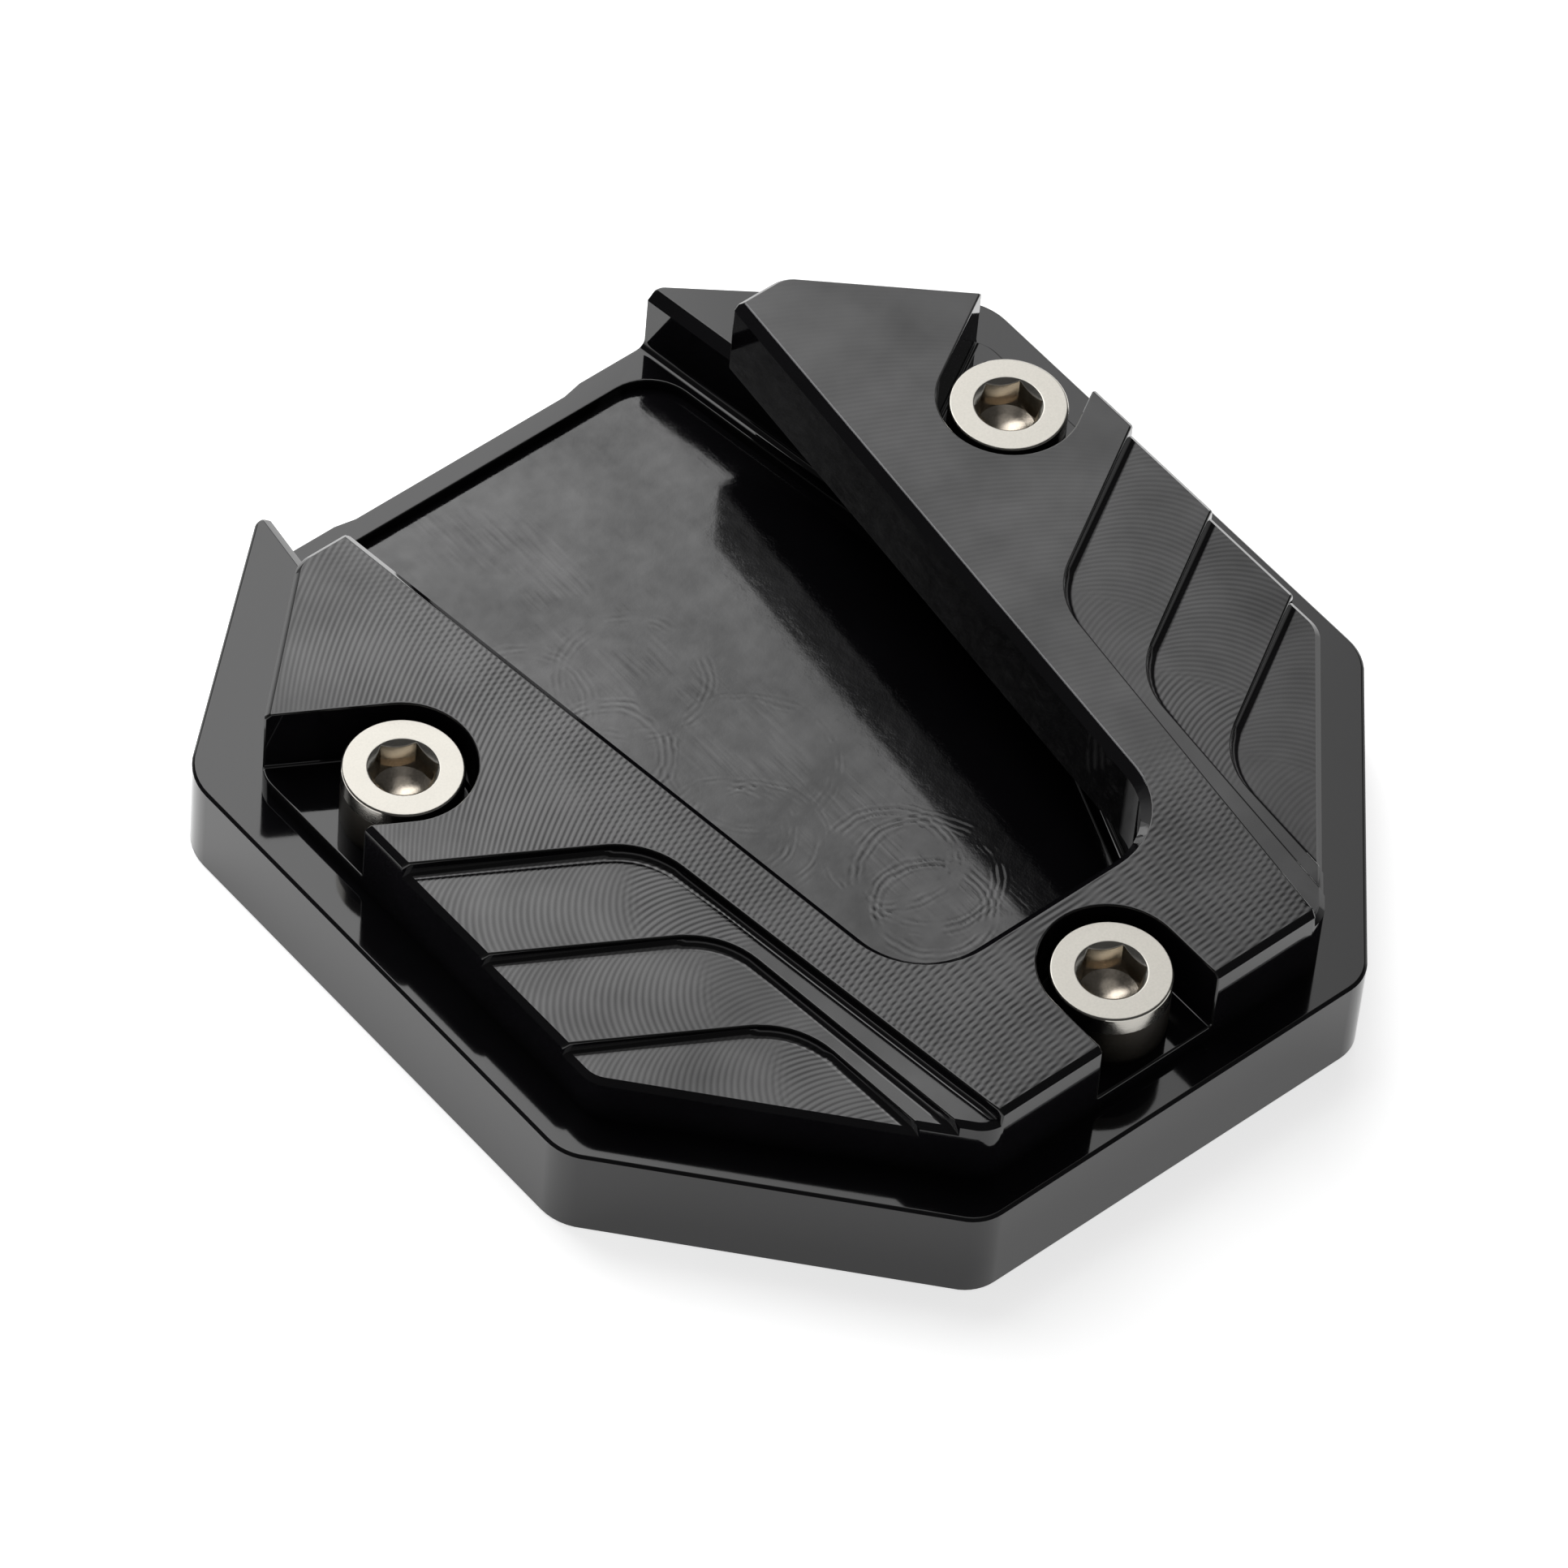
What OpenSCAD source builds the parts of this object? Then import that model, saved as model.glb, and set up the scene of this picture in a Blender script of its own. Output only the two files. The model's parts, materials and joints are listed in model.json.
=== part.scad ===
// Foot enlarger for a motorcycle kickstand: a pocketed base plate, a stepped
// U-shaped clamp plate on top of it, and three socket head cap screws.
// X runs across, +Y to the rear where the stand's leg comes in, +Z up.
// The origin is the middle of the underside, on which the part rests.
// Places along the length are given as distances from the front edge.

/* [Base plate] */
// Overall width of the base plate
base_w = 86.8; // [84:0.1:110]
// Overall length of the base plate
base_len = 92.9; // [88:0.1:115]
// Thickness of the base plate
base_t = 9.7; // [8.5:0.1:16]
// Width of the straight front edge
base_front_w = 41.2; // [30:0.1:56]
// Place where the straight sides begin
base_side_start = 26; // [15:0.1:40]
// Place where the straight sides end
base_side_end = 74.8; // [66:0.1:80]
// Corner radius at the front edge
base_front_r = 4; // [1:0.1:8]
// Corner radius where the straight sides begin
base_side_r = 5; // [1:0.1:10]
// Corner radius where the straight sides end
base_shoulder_r = 5.5; // [1:0.1:10]
// Width of the rear edge left on each horn, outside the mouth
horn_tip_w = 1.5; // [0.8:0.1:4]
// Radius on the horn tips
horn_tip_r = 1.2; // [0.8:0.1:3]
// Chamfer around the top and bottom edges
base_chamfer = 0.25; // [0.1:0.05:0.8]

/* [Foot pocket] */
// Width of the pocket's mouth between the horn tips
mouth_w = 41; // [34:0.1:46]
// Wall between the side screws' holes and the pocket
pocket_side_wall = 4.05; // [2:0.05:6]
// Wall between the front screw's hole and the pocket
pocket_front_wall = 2.95; // [2:0.05:6]
// Width of the pocket's front end
pocket_front_w = 26; // [20:0.1:36]
// Place where the widest stretch of the pocket begins
pocket_wide_start = 47; // [36:0.1:52]
// Length of the widest stretch
pocket_wide_len = 10; // [2:0.1:16]
// Radius of the pocket's corners
pocket_r = 5; // [3:0.1:8]
// Radius between the pocket's side wall and its ledge
pocket_fillet = 0.8; // [0.5:0.1:2.8]
// Height of the rear lip above the underside
lip_h = 2.9; // [2.4:0.1:5]
// Thickness of the rear lip, front to back
lip_t = 2.45; // [1:0.05:6]
// Depth of the floor recess below the lip
recess_depth = 1.1; // [0.5:0.05:1.5]
// Corner radius of the floor recess
recess_r = 4.5; // [1:0.1:7]
// Ledge between the wall's foot and the floor recess
recess_ledge = 0.5; // [0.1:0.05:2]
// Chamfer around the top edge of the pocket
pocket_chamfer = 0.9; // [0.1:0.05:1.2]
// Length of the stretch of the lip that is set back
lip_relief_w = 22.8; // [8:0.1:30]
// Set-back of that stretch
lip_relief = 0.4; // [0.1:0.05:0.8]
// Run of the slope at each end of the set-back stretch
lip_relief_run = 2; // [0.5:0.1:4]

/* [Clamp plate] */
// Thickness of the clamp plate at the ridge
clamp_t = 8.2; // [7:0.1:14]
// Margin of the base plate that shows at the sides
side_margin = 4.1; // [1:0.1:5]
// Margin of the base plate that shows at the front
front_margin = 3.25; // [1:0.05:5]
// Rear faces of the wings ahead of the horn tips
rear_margin = 10.6; // [6:0.1:14]
// Front face narrower than the base plate's front edge
front_face_cut = 5.4; // [2:0.1:10]
// Sides start this far behind those of the base plate
side_start_lag = 1.6; // [0:0.1:4]
// Sides end this far ahead of those of the base plate
side_end_lead = 4.5; // [2:0.1:8]
// Width of each wing's rear face
wing_rear_w = 5.5; // [3.5:0.1:8]
// Radius of the clamp plate's outer corners
clamp_r = 3; // [1:0.1:5]
// Chamfer around the clamp plate's outer top edges
clamp_chamfer = 0.5; // [0.1:0.05:0.8]
// Width of the U opening at the wings' rear faces
u_rear_w = 41.5; // [34:0.1:45]
// Width of the U opening at its front edge
u_front_w = 27; // [22:0.1:32]
// Bridge between the front screw's slot and the U opening
bridge_t = 2.2; // [1.7:0.05:6]
// Corner radius of the U opening
u_r = 7; // [2:0.1:9]
// Chamfer around the top edge of the U opening
u_chamfer = 0.85; // [0.05:0.05:1]

/* [Feather steps] */
// Width of the ridge between the U opening and the first step's corner
ridge_w = 5.6; // [4:0.1:8]
// Place of the first step's inner corner
feather_start = 41.7; // [38:0.1:44]
// Distance from one step to the next
feather_pitch = 10.1; // [6:0.1:10.5]
// Outward shift of each following step's inner corner
feather_shift = 0.45; // [0:0.05:1.5]
// Angle of the steps' outer stretch, in degrees
feather_angle = 30.3; // [15:0.1:40]
// Lean of the first step's inner stretch, in degrees
feather_lean = 7.4; // [4:0.1:10]
// Drop of that lean from one step to the next, in degrees
feather_lean_drop = 1.6; // [0:0.1:1.8]
// Radius of the steps' inner corners
feather_r = 7.5; // [1:0.1:9]
// Height of the first step, below the ridge
step_1_h = 1.3; // [0.4:0.05:1.8]
// Height of the second step
step_2_h = 1.05; // [0.4:0.05:1.3]
// Height of the third step
step_3_h = 1; // [0.4:0.05:1.3]

/* [Screws] */
// Place of the front screw
front_screw_place = 9.3; // [8.8:0.1:11]
// Place of the side screws
side_screw_place = 60.2; // [57:0.1:62]
// Side screws' axes inside the base plate's sides
side_screw_inset = 10.8; // [9:0.1:12]
// Nominal thread diameter
thread_d = 6; // [4:0.1:6.4]
// Diameter of the head
head_d = 10.2; // [8.5:0.1:10.4]
// Height of the head
head_h = 6; // [4:0.1:7]
// Distance from the screw's end to the underside
tip_gap = 1.2; // [0.2:0.1:3]
// Width across the flats of the hexagon socket
socket_af = 5; // [3:0.1:6]
// Depth of the hexagon socket
socket_depth = 3; // [1.5:0.1:3.4]
// Chamfer around the socket's mouth
mouth_chamfer = 0.5; // [0.2:0.05:0.8]
// Chamfer around the head's top edge
head_chamfer = 0.15; // [0.1:0.05:0.6]
// Chamfer on the end of the thread
tip_chamfer = 0.8; // [0.3:0.05:1.2]

/* [Screw seats] */
// Gap between a head and the wall of its slot
head_gap = 1.05; // [0.3:0.05:1.4]
// Angle of the side slots behind the X axis, in degrees
slot_angle = 30; // [10:0.5:40]
// Thickness of the clamp plate under the heads
seat_t = 1.5; // [1:0.1:2.6]
// Extra diameter of the clearance holes in the clamp plate
clearance_extra = 0.6; // [0.2:0.05:1]
// Extra diameter of the tapped holes in the base plate
tapped_extra = 0.1; // [0.05:0.05:0.3]
// Chamfer around the tapped holes on the underside
hole_chamfer = 0.5; // [0.1:0.05:0.9]

/* [Hidden] */

plate_colour = [0.11, 0.11, 0.12];
screw_colour = [0.82, 0.81, 0.79];

// One overrun serves every cut that has to pass a face
over = 1;
fine = 96;
blend_fn = 48;
fillet_steps = 5;

front_y = -base_len / 2;
rear_y = base_len / 2;
floor_h = lip_h - recess_depth;
top_z = base_t + clamp_t;
seat_z = base_t + seat_t;
clearance_d = thread_d + clearance_extra;
tapped_d = thread_d + tapped_extra;
slot_w = head_d + head_gap * 2;
screw_len = base_t + seat_t - tip_gap;

side_screw_x = base_w / 2 - side_screw_inset;
front_screw = [0, front_y + front_screw_place];
right_screw = [side_screw_x, front_y + side_screw_place];
left_screw = [-side_screw_x, front_y + side_screw_place];

// A corner is [x, y, radius]. Each list gives the right half from front to
// rear, and both_sides adds its mirror images to close the ring.
base_ring = both_sides([
    [base_front_w / 2, front_y, base_front_r],
    [base_w / 2, front_y + base_side_start, base_side_r],
    [base_w / 2, front_y + base_side_end, base_shoulder_r],
    [mouth_w / 2 + horn_tip_w, rear_y, horn_tip_r]
]);

clamp_rear_y = rear_y - rear_margin;
clamp_side_x = base_w / 2 - side_margin;
clamp_ring = both_sides([
    [(base_front_w - front_face_cut) / 2, front_y + front_margin, clamp_r],
    [clamp_side_x, front_y + base_side_start + side_start_lag, clamp_r],
    [clamp_side_x, front_y + base_side_end - side_end_lead, clamp_r],
    [u_rear_w / 2 + wing_rear_w, clamp_rear_y, clamp_r]
]);

// The pocket's side wall runs straight from its widest stretch to the mouth.
// Its line is carried on past the rear edge, so that the mouth stays open.
pocket_x = side_screw_x - tapped_d / 2 - pocket_side_wall;
pocket_front_y = front_screw[1] + tapped_d / 2 + pocket_front_wall;
pocket_wide_y = front_y + pocket_wide_start + pocket_wide_len;
mouth_slope = (pocket_x - mouth_w / 2) / (rear_y - pocket_wide_y);
mouth_run = pocket_r * 2;
function pocket_wall_x(y) = mouth_w / 2 + mouth_slope * (rear_y - y);
function pocket_half(end_y, r) = [
    [pocket_front_w / 2, pocket_front_y, r],
    [pocket_x, front_y + pocket_wide_start, r],
    [pocket_x, pocket_wide_y, r],
    [pocket_wall_x(end_y), end_y, r]
];
pocket_ring = both_sides(pocket_half(rear_y + mouth_run, pocket_r));

// The floor recess follows the same walls and stops at the rear lip
recess_inset = pocket_fillet + recess_ledge;
recess_ring = inset_ring(
    both_sides(pocket_half(rear_y - lip_t + recess_inset, recess_r)),
    recess_inset
);

u_front_y = front_screw[1] + slot_w / 2 + bridge_t;
u_slope = (u_rear_w - u_front_w) / 2 / (clamp_rear_y - u_front_y);
function u_wall_x(y) = u_front_w / 2 + u_slope * (y - u_front_y);
u_run = u_r + over;
u_ring = both_sides([
    [u_front_w / 2, u_front_y, u_r],
    [u_wall_x(clamp_rear_y + u_run), clamp_rear_y + u_run, 0]
]);

feather_y = front_y + feather_start;
feather_x = u_wall_x(feather_y) + ridge_w;
step_levels = [
    top_z - step_1_h,
    top_z - step_1_h - step_2_h,
    top_z - step_1_h - step_2_h - step_3_h
];
last_step = len(step_levels) - 1;

function both_sides(half) = concat(
    half,
    [for (i = [len(half) - 1:-1:0]) [-half[i][0], half[i][1], half[i][2]]]
);
function place(corner) = [corner[0], corner[1]];
function at(ring, i) = ring[(i + len(ring)) % len(ring)];
function direction(from, to) = (to - from) / norm(to - from);
function dir_back(ring, i) = direction(place(ring[i]), place(at(ring, i - 1)));
function dir_on(ring, i) = direction(place(ring[i]), place(at(ring, i + 1)));
function half_angle(ring, i) = acos(dir_back(ring, i) * dir_on(ring, i)) / 2;
function inward(ring, i) = direction([0, 0], dir_back(ring, i) + dir_on(ring, i));
function arc_centre(ring, i) =
    place(ring[i]) + inward(ring, i) * ring[i][2] / sin(half_angle(ring, i));
function touch_length(ring, i) = ring[i][2] / tan(half_angle(ring, i));
function inset_ring(ring, d) = [
    for (i = [0:len(ring) - 1])
        concat(place(ring[i]) + inward(ring, i) * d / sin(half_angle(ring, i)), [ring[i][2]])
];

// Flat outline of a ring, with true arcs at its corners
module outline(ring) {
    polygon([
        for (i = [0:len(ring) - 1])
            for (way = [dir_back(ring, i), dir_on(ring, i)])
                place(ring[i]) + way * touch_length(ring, i)
    ]);
    for (i = [0:len(ring) - 1])
        if (ring[i][2] > 0)
            translate(arc_centre(ring, i)) circle(r = ring[i][2], $fn = fine);
}

// Puts a post at each corner of a ring and stretches a skin around them.
// The post is drawn by its profile: [distance out of the arc, height].
module skin(ring, profile) {
    hull()
        for (i = [0:len(ring) - 1])
            translate(concat(arc_centre(ring, i), [0]))
                rotate_extrude($fn = blend_fn)
                    polygon(concat(
                        [[0, profile[0][1]]],
                        [for (p = profile) [ring[i][2] + p[0], p[1]]],
                        [[0, profile[len(profile) - 1][1]]]
                    ));
}

module chamfered_plate(ring, low_z, high_z, chamfer) {
    skin(ring, [[0, low_z], [0, high_z - chamfer], [-chamfer, high_z]]);
}

module edge_flare(ring, z, chamfer) {
    skin(ring, [[0, z - chamfer], [chamfer + over, z + over]]);
}

module at_screws() {
    for (p = [front_screw, left_screw, right_screw])
        translate(p) children();
}

module base_body() {
    skin(base_ring, [
        [-base_chamfer, 0],
        [0, base_chamfer],
        [0, base_t - base_chamfer],
        [-base_chamfer, base_t]
    ]);
}

// Pocket for the stand's foot, whose side wall meets its ledge in a fillet
module foot_pocket() {
    fillet = [
        for (k = [0:fillet_steps])
            let (a = 90 * k / fillet_steps)
            [-pocket_fillet * (1 - sin(a)), lip_h + pocket_fillet * (1 - cos(a))]
    ];
    skin(pocket_ring, concat(fillet, [[0, base_t + over]]));
    edge_flare(pocket_ring, base_t, pocket_chamfer);
    translate([0, 0, floor_h])
        linear_extrude(base_t) outline(recess_ring);
}

// Shallow trapezoid that sets the middle of the rear lip back
module lip_relief_cut() {
    half = lip_relief_w / 2;
    run = lip_relief_run * (lip_relief + over) / lip_relief;
    translate([0, 0, -over])
        linear_extrude(base_t + over * 2)
            polygon([
                [-half, rear_y - lip_relief],
                [half, rear_y - lip_relief],
                [half + run, rear_y + over],
                [-half - run, rear_y + over]
            ]);
}

module tapped_hole() {
    mouth_d = tapped_d + hole_chamfer * 2;
    translate([0, 0, -over])
        cylinder(d = tapped_d, h = base_t + over * 2, $fn = fine);
    translate([0, 0, -over])
        cylinder(d1 = mouth_d + over * 2, d2 = tapped_d, h = hole_chamfer + over, $fn = fine);
}

module base_plate() {
    color(plate_colour) difference() {
        base_body();
        foot_pocket();
        lip_relief_cut();
        at_screws() tapped_hole();
    }
}

// Ground on both sides that lies outside step k, open to the side and front
module step_ground(k) {
    lean = feather_lean - k * feather_lean_drop;
    corner = [feather_x + k * feather_shift, feather_y - k * feather_pitch];
    side_end = corner + base_len * [cos(feather_angle), sin(feather_angle)];
    front_end = corner - base_len * [sin(lean), cos(lean)];
    ring = [
        concat(corner, [feather_r]),
        concat(front_end, [0]),
        [side_end[0], front_end[1], 0],
        concat(side_end, [0])
    ];
    for (side = [0, 1])
        mirror([side, 0, 0]) outline(ring);
}

// The ridge stands highest, and each feather outside it lies one step lower
module stepped_body() {
    difference() {
        chamfered_plate(clamp_ring, base_t, top_z, clamp_chamfer);
        translate([0, 0, base_t - over])
            linear_extrude(clamp_t + over * 2) step_ground(0);
    }
    for (k = [0:last_step])
        intersection() {
            chamfered_plate(clamp_ring, base_t, step_levels[k], clamp_chamfer);
            translate([0, 0, base_t])
                linear_extrude(clamp_t)
                    difference() {
                        step_ground(k);
                        if (k < last_step) step_ground(k + 1);
                    }
        }
}

// U opening through which the stand's leg reaches the foot in the pocket
module u_opening() {
    translate([0, 0, base_t - over])
        linear_extrude(clamp_t + over * 2) outline(u_ring);
    edge_flare(u_ring, top_z, u_chamfer);
}

// Slot that takes a head and runs out through the plate's edge along +X
module head_slot() {
    translate([0, 0, seat_z])
        linear_extrude(clamp_t) {
            circle(d = slot_w, $fn = fine);
            translate([0, -slot_w / 2]) square([base_w / 2, slot_w]);
        }
}

module clearance_hole() {
    translate([0, 0, base_t - over])
        cylinder(d = clearance_d, h = seat_t + over * 2, $fn = fine);
}

module clamp_plate() {
    color(plate_colour) difference() {
        stepped_body();
        u_opening();
        translate(front_screw) rotate(-90) head_slot();
        translate(right_screw) rotate(slot_angle) head_slot();
        translate(left_screw) rotate(180 - slot_angle) head_slot();
        at_screws() clearance_hole();
    }
}

// Turned shape of a screw, with the underside of its head at z = 0
module screw_blank() {
    thread_r = thread_d / 2;
    head_r = head_d / 2;
    rotate_extrude($fn = fine)
        polygon([
            [0, -screw_len],
            [thread_r - tip_chamfer, -screw_len],
            [thread_r, -screw_len + tip_chamfer],
            [thread_r, 0],
            [head_r, 0],
            [head_r, head_h - head_chamfer],
            [head_r - head_chamfer, head_h],
            [0, head_h]
        ]);
}

// Hexagon socket with the cone that its drill leaves and a chamfered mouth
module hexagon_socket() {
    across_corners = socket_af / cos(30);
    drill_h = socket_af / 2 * tan(30);
    floor_z = head_h - socket_depth;
    translate([0, 0, floor_z])
        rotate(30) cylinder(d = across_corners, h = socket_depth + over, $fn = 6);
    translate([0, 0, floor_z - drill_h])
        cylinder(d1 = 0, d2 = socket_af, h = drill_h, $fn = fine);
    translate([0, 0, head_h - mouth_chamfer])
        cylinder(
            d1 = socket_af,
            d2 = socket_af + (mouth_chamfer + over) * 2,
            h = mouth_chamfer + over,
            $fn = fine
        );
}

module cap_screw(p) {
    color(screw_colour) translate(concat(p, [seat_z])) difference() {
        screw_blank();
        hexagon_socket();
    }
}

module screw_front() { cap_screw(front_screw); }
module screw_left() { cap_screw(left_screw); }
module screw_right() { cap_screw(right_screw); }

base_plate();
clamp_plate();
screw_front();
screw_left();
screw_right();
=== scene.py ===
"""Looks of a kickstand foot enlarger: a black anodised base plate and clamp plate with their
milling marks, and three bright cap screws with real threads.

X runs across, +Y to the rear where the stand's leg comes in, +Z up. Lengths are in metres.
"""

import json
import math

import bpy
from bpy.props import FloatProperty, FloatVectorProperty, IntProperty, PointerProperty
from mathutils import Matrix, Vector

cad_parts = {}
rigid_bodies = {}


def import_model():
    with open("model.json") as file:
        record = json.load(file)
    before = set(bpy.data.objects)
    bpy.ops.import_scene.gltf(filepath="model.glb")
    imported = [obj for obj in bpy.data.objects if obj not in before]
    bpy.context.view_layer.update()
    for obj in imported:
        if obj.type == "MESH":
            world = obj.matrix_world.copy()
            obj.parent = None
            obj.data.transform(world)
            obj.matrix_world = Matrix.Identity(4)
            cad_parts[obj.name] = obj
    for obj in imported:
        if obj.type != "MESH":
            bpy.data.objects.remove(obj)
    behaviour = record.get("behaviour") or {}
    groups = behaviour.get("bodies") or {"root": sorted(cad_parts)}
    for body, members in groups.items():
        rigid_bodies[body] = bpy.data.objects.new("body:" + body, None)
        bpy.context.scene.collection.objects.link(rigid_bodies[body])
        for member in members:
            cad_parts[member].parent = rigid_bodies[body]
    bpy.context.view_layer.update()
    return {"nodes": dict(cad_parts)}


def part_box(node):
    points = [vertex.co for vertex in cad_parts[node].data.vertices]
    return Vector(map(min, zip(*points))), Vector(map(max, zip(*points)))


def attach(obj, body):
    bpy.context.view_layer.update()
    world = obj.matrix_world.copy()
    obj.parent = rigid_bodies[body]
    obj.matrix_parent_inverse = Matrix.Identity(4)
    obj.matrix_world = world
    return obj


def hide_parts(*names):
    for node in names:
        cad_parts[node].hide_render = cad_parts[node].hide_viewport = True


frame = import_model()
NODES = frame["nodes"]
RIM_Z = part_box("base_plate")[1].z
TOP_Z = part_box("clamp_plate")[1].z
SCREWS = ("screw_front", "screw_left", "screw_right")
MM = 0.001

# Levels of the plates that the frame's boxes don't show, and the slack in finding them
POCKET_Z = 1.8 * MM
SEAT_Z = 11.2 * MM
SLACK = 0.02 * MM

# Reach of a screw's shank and of its socket from the screw's axis
SHANK_REACH = 3.2 * MM
SOCKET_REACH = 3.4 * MM

bl_info = {
    "name": "Kickstand foot enlarger",
    "version": (1, 0, 0),
    "blender": (4, 5, 0),
    "location": "View3D > Sidebar > Enlarger",
    "description": "Dresses the plates and screws of a kickstand foot enlarger",
    "category": "Object",
}


# Sizes and colours that a user would change


def length(name, description, default, **more):
    return FloatProperty(
        name=name, description=description, default=default, min=0.0, unit="LENGTH", precision=5, **more
    )


def colour(name, description, default):
    return FloatVectorProperty(
        name=name, description=description, default=default, size=3, min=0.0, max=1.0, subtype="COLOR"
    )


def share(name, description, default):
    return FloatProperty(
        name=name, description=description, default=default, min=0.0, max=1.0, subtype="FACTOR"
    )


def angle(name, description, default):
    return FloatProperty(name=name, description=description, default=default, subtype="ANGLE")


def brightness(name, description, default):
    return FloatProperty(name=name, description=description, default=default, min=0.0)


def count(name, description, default, low, high):
    return IntProperty(name=name, description=description, default=default, min=low, max=high)


class EnlargerEdges(bpy.types.PropertyGroup):
    edge_break: length("Edge break", "Width of the rounding on the plates' square edges", 0.20 * MM)
    chamfer_break: length("Chamfer break", "Width of the rounding on the edges of chamfers", 0.06 * MM)
    highlight_break: length("Highlight break", "Width of the rounding that carries the painted highlight on the opening's right edge", 0.09 * MM)
    step_foot: length("Step foot", "Radius that the cutter left at the foot of each feather step", 0.72 * MM)
    slot_foot: length("Slot foot", "Radius that the cutter left at the foot of the head slots", 0.30 * MM)
    head_break: length("Head edge break", "Width of the rounding on the screw heads' edges", 0.07 * MM)
    square_angle: angle("Square angle", "Edges that turn by more than this count as square", math.radians(62))
    sharp_angle: angle("Sharp angle", "Edges that turn by more than this are rounded", math.radians(28))
    foot_levels: count("Foot steps", "Faces across each rounded foot", 4, 1, 8)


class EnlargerMarks(bpy.types.PropertyGroup):
    face_mill_radius: length("Face mill radius", "Radius of the arcs on the ridge and wings", 50 * MM)
    face_mill_feed: length("Face mill feed", "Distance between two arcs on the ridge and wings", 0.575 * MM)
    step_mill_radius: length("Step mill radius", "Radius of the arcs on the feather steps", 8.5 * MM)
    step_mill_feed: length("Step mill feed", "Distance between two arcs on the feather steps", 0.56 * MM)
    pocket_mill_radius: length("Pocket mill radius", "Radius of the rings on the pocket's floor", 4.9 * MM)
    wall_mill_feed: length("Wall mill feed", "Distance between two lines on the upright walls", 0.34 * MM)
    depth: length("Mark depth", "Depth of the milling marks", 0.0065 * MM)
    clear: share("Mark clarity", "How much duller the clear layer is in the marks", 0.45)


class EnlargerFinishes(bpy.types.PropertyGroup):
    anodised: colour("Anodised colour", "Black dye of the anodised aluminium", (0.0036, 0.0034, 0.0042))
    edge: colour("Edge colour", "Anodised edges, where the finish is thinner", (0.007, 0.007, 0.007))
    # The edge highlight is painted: a pale grey on the opening's right edge that gives its bright line
    wear_and_sheen: colour("Edge highlight colour", "Painted highlight along the opening's right edge", (0.13, 0.13, 0.135))
    steel: colour("Steel colour", "Bright plated steel", (0.54, 0.52, 0.475))
    # The socket's tone is painted shade and a painted brown reflection on the steel
    socket: colour("Socket shade colour", "Steel in the sockets, painted darker and browner for their shade and brown reflections", (0.46, 0.41, 0.345))
    oxide_index: FloatProperty(
        name="Oxide index", description="Refractive index of the clear anodised layer", default=1.5, min=1.0
    )
    satin: share("Satin roughness", "Roughness of the milled tops", 0.10)
    gloss: share("Gloss roughness", "Roughness of the walls", 0.05)
    milled: share("Milled roughness", "Roughness of the pocket's floor", 0.085)
    bright: share("Steel roughness", "Roughness of the screws' sides", 0.10)
    turned: share("Turned roughness", "Roughness of the screws' tops", 0.42)


class EnlargerThread(bpy.types.PropertyGroup):
    radius: length("Thread radius", "Outside radius of the thread", 3.0 * MM)
    pitch: length("Thread pitch", "Distance between two turns of the thread", 1.0 * MM)
    depth: length("Thread depth", "Depth of the thread", 0.61 * MM)
    head: length("Head height", "Height of the screw's head", 6.0 * MM)
    collar: length("Collar height", "Height of the smooth band at the top of the head", 1.9 * MM)
    steps: count("Steps", "Faces round one turn of the thread", 48, 12, 96)


class EnlargerStudio(bpy.types.PropertyGroup):
    floor_size: length("Floor size", "Side of the square floor", 8.0)
    floor_gap: length("Floor gap", "Gap that keeps the floor off the part's underside", 0.02 * MM)
    floor_colour: colour("Floor colour", "Pale floor", (0.88, 0.88, 0.88))
    surround: brightness("Surround", "Brightness of the studio above the part", 0.07)
    horizon: brightness("Horizon", "Brightness of the studio's walls, low down", 0.5)
    zenith: brightness("Zenith", "Brightness of the studio straight overhead", 0.4)
    # The floor's glow is painted light: emission that is brighter at the rear left than at the front
    glow_near: brightness("Near glow", "Brightness of the painted glow on the floor at the front", 0.70)
    glow_far: brightness("Far glow", "Brightness of the painted glow on the floor at the rear left", 0.82)
    key_radiance: brightness("Key light", "Brightness of the soft box on its left", 3.2)
    key_size: length("Key light size", "Side of the square soft box", 0.62)
    key_distance: length("Key light distance", "Distance of the soft box above the part", 0.40)
    key_aside: FloatProperty(
        name="Key light aside",
        description="Shift of the soft box to the right of the view",
        default=-0.14,
        unit="LENGTH",
    )
    lens: FloatProperty(name="Lens", description="Focal length", default=250.66, unit="CAMERA")
    distance: length("Camera distance", "Distance from the camera to the front screw", 887.82 * MM)
    azimuth: angle("Camera azimuth", "Turn of the view from the rear axis", 0.772)
    elevation: angle("Camera elevation", "Height of the view above the floor", 0.8918)
    roll: angle("Camera roll", "Tilt of the picture", -0.0986)
    aside: FloatVectorProperty(
        name="Aside",
        description="Front screw's place right of and above the picture's middle",
        default=(26.014 * MM, -19.730 * MM),
        size=2,
        unit="LENGTH",
    )


# Shader maths


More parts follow.
